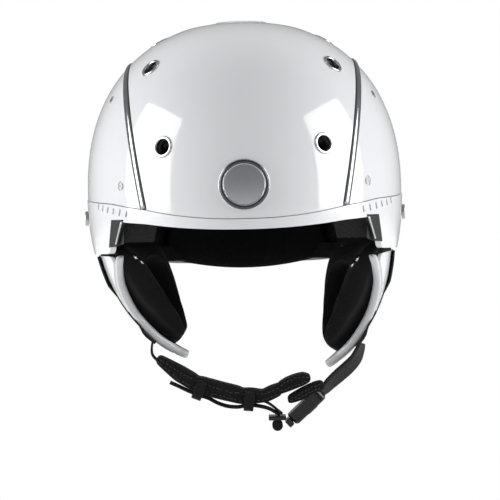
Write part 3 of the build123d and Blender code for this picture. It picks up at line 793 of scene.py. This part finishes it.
# ---- Webbing on the ear cups --------------------------------------------------------------------
# Polyester webbing with a ribbed weave, threaded over each cup and anchored under the shell.
# The weave follows the strap's own length.
def woven(name, shade, rough):
    """Narrow webbing: ribs along the strap crossed by fine picks, paler on the ribs."""
    f = Finish(name)
    u, v, w = f.parts(f.add("ShaderNodeUVMap"))
    rib = (u * 5200.0).wave().size()
    pick = (v * 7000.0 + 1.57 * (u * 2600.0).wave()).wave().size()
    weave = rib * 0.5 + pick * 0.5
    dust = f.noise(f.place(), 120.0, 3.0)
    colour = f.blend(weave * 0.7 + dust * 0.3, (shade * 0.45,) * 3, (shade * 2.0, shade * 2.0, shade * 2.1))
    return f.set(Base_Color=colour, Roughness=rough + 0.15 * dust, Sheen_Weight=0.04,
                 Specular_IOR_Level=0.25, Normal=f.bump(weave, 0.00022))


def ribbon(path, sides, width, thick, name, closed=False):
    """A flat strap with rolled edges along a path; sides are the directions across it."""
    shape = bmesh.new()
    uv = shape.loops.layers.uv.new("UVMap")
    half, deep = width / 2, thick / 2
    section = [(-half, 0), (-half + deep * 0.4, deep * 0.9), (-half + deep * 1.4, deep), (0, deep * 0.92),
               (half - deep * 1.4, deep), (half - deep * 0.4, deep * 0.9), (half, 0),
               (half - deep * 0.4, -deep * 0.9), (half - deep * 1.4, -deep), (0, -deep * 0.92),
               (-half + deep * 1.4, -deep), (-half + deep * 0.4, -deep * 0.9)]
    rings, run, runs = [], 0.0, []
    count = len(path)
    for i, (p, side) in enumerate(zip(path, sides)):
        ahead = path[(i + 1) % count] if closed or i + 1 < count else p
        behind = path[i - 1] if closed or i > 0 else p
        along = (ahead - behind).normalized()
        across = (side - along * side.dot(along)).normalized()
        rise = along.cross(across)
        rings.append([shape.verts.new(p + across * a + rise * h) for a, h in section])
        runs.append(run)
        if i + 1 < count:
            run += (path[i + 1] - p).length
    runs.append(run + (path[0] - path[-1]).length)
    for i in range(count if closed else count - 1):
        here, there = rings[i], rings[(i + 1) % count]
        for j in range(12):
            k = (j + 1) % 12
            face = shape.faces.new((here[j], here[k], there[k], there[j]))
            for corner, (across, along) in zip(face.loops, ((j, i), (k, i), (k, i + 1), (j, i + 1))):
                corner[uv].uv = (section[across][0], runs[along])
    if not closed:
        for ring in (rings[0][::-1], rings[-1]):
            face = shape.faces.new(ring)
            for corner in face.loops:
                corner[uv].uv = (0.0, 0.0)
    return finished(shape, name)


webbing_black = woven("webbing", 0.009, 0.6)
for side, body, place in ear_sides:
    drops = [-0.0464 - 0.0645 * k / 24 for k in range(25)]
    path = []
    for z in drops:
        under = min(max((-0.068 - z) / 0.008, 0.0), 1.0) * min(max((z + 0.104) / 0.006, 0.0), 1.0)
        path.append(place @ at_depth(-0.022, z, 0.0011 + 0.0023 * under))
    show("cup_webbing_" + side, ribbon(path, [Vector((0, 1, 0))] * 25, 0.0178, 0.0013, "webbing"), body,
         "webbing", webbing_black, instead_of=("ear_webbing_" + side,))

# ---- Chin pad -----------------------------------------------------------------------------------
# A soft sleeve of foam in brushed knit round the chin strap, sewn along both edges.
# Its tip is a separate flap that backs the buckle.
chin_knit = knit("chin_knit", 0.0075, 2900.0, 0.00018)
middle = -0.022
chin_top = [(-0.0655, -0.1195), (-0.052, -0.1285), (-0.037, -0.1372), (-0.020, -0.1430), (-0.004, -0.1463),
            (0.010, -0.1470), (0.0240, -0.1412)]
chin_low = [(-0.0680, -0.1245), (-0.054, -0.1372), (-0.039, -0.1462), (-0.020, -0.1525), (-0.004, -0.1566),
            (0.012, -0.1548), (0.0240, -0.1504)]
flap_top = [(0.0205, -0.1425), (0.0265, -0.1388), (0.0330, -0.1362), (0.0393, -0.1348), (0.0455, -0.1362)]
flap_low = [(0.0215, -0.1505), (0.0270, -0.1487), (0.0330, -0.1462), (0.0393, -0.1442), (0.0452, -0.1415)]
back_top = [(0.0275, -0.1525), (0.0340, -0.1487), (0.0400, -0.1455), (0.0470, -0.1425), (0.0545, -0.1405)]
back_low = [(0.0285, -0.1570), (0.0345, -0.1562), (0.0400, -0.1540), (0.0470, -0.1502), (0.0560, -0.1462)]


def block(edges, wide):
    """A straight block across the chin, from its top and bottom edges in the front view."""
    shape = bmesh.new()
    outline = edges[0] + edges[1][::-1]
    near = [shape.verts.new((x, middle - wide / 2, z)) for x, z in outline]
    far = [shape.verts.new((x, middle + wide / 2, z)) for x, z in outline]
    shape.faces.new(near)
    shape.faces.new(far[::-1])
    for i in range(len(outline)):
        k = (i + 1) % len(outline)
        shape.faces.new((near[i], far[i], far[k], near[k]))
    return finished(shape, "block")


for name, mesh, body, edges, gone in (
        ("chin_sleeve", welded("chin_pad"), "chin_right", (chin_top, chin_low), ("chin_pad",)),
        ("chin_flap", block((flap_top, flap_low), 0.029), "chin_left", (flap_top, flap_low),
         ("chin_pad_tip",)),
        ("buckle_backing", block((back_top, back_low), 0.027), "chin_left", (back_top, back_low), ())):
    pad = cushion(name, mesh, body, "chin_fabric", chin_knit, 0.0018, 7, 3.0, instead_of=gone)
    middle_line = [(Vector((a, 0, b)) + Vector((c, 0, d))) / 2 for (a, b), (c, d) in zip(*edges)]
    for face in (-1, 1):
        for k, edge in enumerate(edges):
            rail = [Vector((x, 0, z)) for x, z in edge]
            inset = [r + (m - r) * 0.22 for r, m in zip(rail, middle_line)]
            line = smooth_line([Vector((p.x, middle + face * 0.020, p.z)) for p in inset], 12)
            seam, ups = on_pad(pad, line, 0.0)
            pressed(pad, seam, 0.0007, 0.0022)
            seam, ups = on_pad(pad, seam, 0.0)
            label = name + "_stitches_" + ("front", "back")[face > 0] + ("_top", "_low")[k]
            stitched(label, seam, ups, body, "chin_fabric", thread, 0.0026, 0.0021, 0.00028)
    refined(pad)

# ---- Chin straps --------------------------------------------------------------------------------
# The same webbing: the right half runs through the sleeve to the ladder bar and turns back as a tail,
# the left half is doubled and sewn round the buckle's slot.
def flat_line(points, per=8):
    """A smooth line through (x, z) points in the plane of the straps' middle."""
    return smooth_line([Vector((x, middle, z)) for x, z in points], per)


entry = flat_line([(-0.0700, -0.1098), (-0.0708, -0.1150), (-0.0700, -0.1200), (-0.0650, -0.1252),
                   (-0.0590, -0.1300)])
show("strap_entry", ribbon(entry, [Vector((0, 1, 0))] * len(entry), 0.0158, 0.0014, "strap"),
     "chin_right", "webbing", webbing_black)
tail = flat_line([(-0.0580, -0.1400), (-0.0520, -0.1428), (-0.0440, -0.1468), (-0.0360, -0.1502),
                  (-0.0300, -0.1522), (-0.0235, -0.1558), (-0.0163, -0.1584), (-0.0090, -0.1592),
                  (-0.0037, -0.1586), (0.0030, -0.1583), (0.0090, -0.1593), (0.0150, -0.1612),
                  (0.0200, -0.1642), (0.0224, -0.1652)])
show("strap_tail", ribbon(tail, [Vector((0, 1, 0))] * len(tail), 0.0158, 0.0020, "strap"),
     "chin_right", "webbing", webbing_black, instead_of=("long_strap",))
exit_line = flat_line([(0.0060, -0.1545), (0.0120, -0.1558), (0.0170, -0.1590), (0.0215, -0.1628),
                       (0.0240, -0.1648)])
show("strap_exit", ribbon(exit_line, [Vector((0, 1, 0))] * len(exit_line), 0.0158, 0.0013, "strap"),
     "chin_right", "webbing", webbing_black)
hang = flat_line([(0.0835, -0.1145), (0.0818, -0.1195), (0.0785, -0.1262), (0.0730, -0.1320),
                  (0.0665, -0.1375), (0.0600, -0.1432), (0.0555, -0.1480), (0.0515, -0.1515)])
tilts = [0.22 + 0.36 * sin(pi * k / (len(hang) - 1)) for k in range(len(hang))]
leans = []
for k, tilt in enumerate(tilts):
    run = (hang[min(k + 1, len(hang) - 1)] - hang[max(k - 1, 0)]).normalized()
    leans.append(Vector((0, 1, 0)) * cos(tilt) + run.cross(Vector((0, 1, 0))) * sin(tilt))
show("strap_left", ribbon(hang, leans, 0.0178, 0.0026, "strap"), "chin_left", "webbing", webbing_black,
     instead_of=("short_strap",))

# ---- Keepers ------------------------------------------------------------------------------------
# Two narrow elastic loops that hold the strap's tail against the sleeve.
# They are woven with rubber threads and sewn closed.
elastic = woven("elastic", 0.006, 0.8)
for node, x, z, tilt in (("keeper_outer", -0.036, -0.1444, 22), ("keeper_inner", 0.0, -0.1532, 6)):
    loop = []
    for k in range(64):
        t = 2 * pi * k / 64
        y = 0.0163 * abs(cos(t)) ** 0.4 * (1 if cos(t) > 0 else -1)
        up = abs(sin(t)) ** 0.55 * (1 if sin(t) > 0 else -1)
        loop.append(Vector((0, y, up * (0.0062 if up > 0 else 0.0082))))
    turn = Matrix.Translation((x, middle, z)) @ Matrix.Rotation(radians(tilt), 4, "Y")
    path = [turn @ p for p in loop]
    sides = [turn.to_3x3() @ Vector((1, 0, 0))] * 64
    show(node + "_loop", ribbon(path, sides, 0.0072, 0.0012, "keeper", closed=True), "chin_right",
         "webbing", elastic, instead_of=(node,))

# ---- Buckle -------------------------------------------------------------------------------------
# A moulded clip in glossy black nylon: a body with a sprung key, and a plate with a ladder bar.
# Every edge is rounded in the mould.
def rounded(node, name, body, slot, finish, width, angle=30):
    """A CAD piece with its hard edges rounded."""
    shape = bmesh.new()
    shape.from_mesh(nodes[node].data)
    bmesh.ops.remove_doubles(shape, verts=shape.verts, dist=2e-6)
    bmesh.ops.dissolve_limit(shape, angle_limit=radians(1.5), verts=shape.verts, edges=shape.edges)
    piece = show(name, finished(shape, name), body, slot, finish, instead_of=(node,))
    edge = piece.modifiers.new("bevel", "BEVEL")
    edge.width = width
    edge.segments = 3
    edge.limit_method = "ANGLE"
    edge.angle_limit = radians(angle)
    edge.harden_normals = True
    even = piece.modifiers.new("weighted", "WEIGHTED_NORMAL")
    even.keep_sharp = True
    return piece


gloss_black = moulded("gloss_nylon", 0.008, 0.14, 700.0, 0.00001)
matt_black = moulded("nylon", 0.012, 0.4, 900.0, 0.00006)
rounded("buckle_female", "buckle_body", "chin_left", "black_gloss_plastic", gloss_black, 0.0007)
rounded("release_button", "buckle_key", "button", "black_plastic", matt_black, 0.0003)
rounded("buckle_male", "buckle_plate", "male", "black_gloss_plastic", gloss_black, 0.0006)
rounded("strap_roll", "strap_turn", "male", "webbing", webbing_black, 0.0006)

# ---- Corner clips -------------------------------------------------------------------------------
# Black nylon clips where the brow meets the ear pads; the lining's edge tucks behind them.
# Each is an injection moulding with a satin face; the thin bright metal strip along its edge is a painted
# highlight.
satin_black = moulded("satin_nylon", 0.005, 0.5, 900.0, 0.00003)
for side in ("left", "right"):
    rounded("corner_clip_" + side, "clip_" + side, "helmet", "black_gloss_plastic", satin_black, 0.0012)


def front_plate(corners, low, high, name, across=10, up=16):
    """A plate wrapped on the shell's front between four (x, z) corners, with a rounded edge."""
    shape = bmesh.new()
    (ax, az), (bx, bz), (cx, cz), (dx, dz) = corners
    top, bottom = {}, {}
    for j in range(up + 1):
        for i in range(across + 1):
            u, v = i / across, j / up
            x = (ax * (1 - u) + bx * u) * (1 - v) + (dx * (1 - u) + cx * u) * v
            z = (az * (1 - u) + bz * u) * (1 - v) + (dz * (1 - u) + cz * u) * v
            edge = min(i, across - i, j, up - j)
            top[i, j] = shape.verts.new(drop_to(x, z, high - (0.0006 if edge == 0 else 0.0))[0])
            bottom[i, j] = shape.verts.new(drop_to(x, z, low)[0])
    for j in range(up):
        for i in range(across):
            shape.faces.new((top[i, j], top[i + 1, j], top[i + 1, j + 1], top[i, j + 1]))
            shape.faces.new((bottom[i, j + 1], bottom[i + 1, j + 1], bottom[i + 1, j], bottom[i, j]))
    loop = [(i, 0) for i in range(across)] + [(across, j) for j in range(up)]
    loop += [(i, up) for i in range(across, 0, -1)] + [(0, j) for j in range(up, 0, -1)]
    for a, b in zip(loop, loop[1:] + loop[:1]):
        shape.faces.new((top[a], top[b], bottom[b], bottom[a]))
    return finished(shape, name)


for side, name in ((-1, "right"), (1, "left")):
    plate = [(side * x, z)
             for x, z in ((0.0952, -0.0195), (0.0862, -0.0195), (0.0915, -0.0385), (0.0978, -0.0392))]
    show("clip_face_" + name, front_plate(plate, -0.0016, 0.0014, "clip"), "helmet",
         "black_gloss_plastic", satin_black)
    # A thin strip of bright plated metal along each clip's edge is a painted highlight.
    edge_highlight = [(side * x, z)
             for x, z in ((0.0874, -0.0205), (0.0864, -0.0205), (0.0913, -0.0370), (0.0922, -0.0370))]
    show("clip_ridge_" + name, front_plate(edge_highlight, 0.0008, 0.0021, "edge_highlight", 4, 16), "helmet",
         "black_gloss_plastic", stud_metal_and_painted_highlight)

# ---- Comfort lining -----------------------------------------------------------------------------
# Removable foam pads in a knitted cover, cut and sewn to the head's shape.
# They are held to the liner by hook tape.
lining = knit("lining_knit", 0.003, 2600.0, 0.0002)
for node in ("brow_pad", "crown_pad", "side_pad_left", "side_pad_right", "nape_pad"):
    pad = cushion(node + "_cushion", welded(node), "helmet", "comfort_fabric", lining, 0.003, 6, 3.0,
                  instead_of=(node,))
    refined(pad)

# ---- Neck roll ----------------------------------------------------------------------------------
# A padded band across the nape, sewn to the lining in four cells.
# It covers the size adjuster from inside.
roll_section = []
for k in range(28):
    t = 2 * pi * k / 28
    out = abs(cos(t)) ** 0.7 * (1 if cos(t) > 0 else -1)
    up = abs(sin(t)) ** 0.75 * (1 if sin(t) > 0 else -1)
    roll_section.append((0.0185 * up, 0.0036 * out))
roll_path = [Vector((x, 0.0905 - 0.0125 * (x / 0.060) ** 2, -0.0412 + 0.0095 * (x / 0.060) ** 2))
             for x in [-0.060 + 0.120 * k / 60 for k in range(61)]]
roll_mesh = swept(roll_path, [Vector((0, -1, 0))] * 61, roll_section, "neck_roll")
roll = show("neck_roll", roll_mesh, "helmet", "comfort_fabric", lining)
for seam_x in (-0.030, 0.0, 0.030):
    line = [Vector((seam_x, 0.080, -0.056 + 0.032 * k / 40)) for k in range(41)]
    seam, ups = on_pad(roll, line, 0.0)
    pressed(roll, seam, 0.0010, 0.0040)
refined(roll)

# ---- Size adjuster ------------------------------------------------------------------------------
# A ribbed dial at the nape winds two nylon bands together inside its housing.
# All four are black mouldings, and the housing is fixed to the shell.
rounded("dial_housing", "adjuster_housing", "helmet", "black_plastic", matt_black, 0.0006)
rounded("dial_knob", "adjuster_dial", "dial", "black_plastic", matt_black, 0.0004)
rounded("fit_band_left", "adjuster_band_left", "band_left", "black_plastic", matt_black, 0.0003)
rounded("fit_band_right", "adjuster_band_right", "band_right", "black_plastic", matt_black, 0.0003)

# ---- Goggle strap retainer ----------------------------------------------------------------------
# A rubber strap at the back holds the goggles' band.
# It is riveted above and closed by a plated press stud below.
rubber = moulded("retainer_rubber", 0.02, 0.55, 500.0, 0.00008)
rounded("retainer_base", "retainer_plate", "helmet", "black_plastic", matt_black, 0.0004)
rounded("retainer_strap", "retainer_flap", "retainer", "webbing", rubber, 0.0005)
rounded("retainer_snap", "retainer_stud", "helmet", "snap_metal", stud_metal_and_painted_highlight, 0.0004)
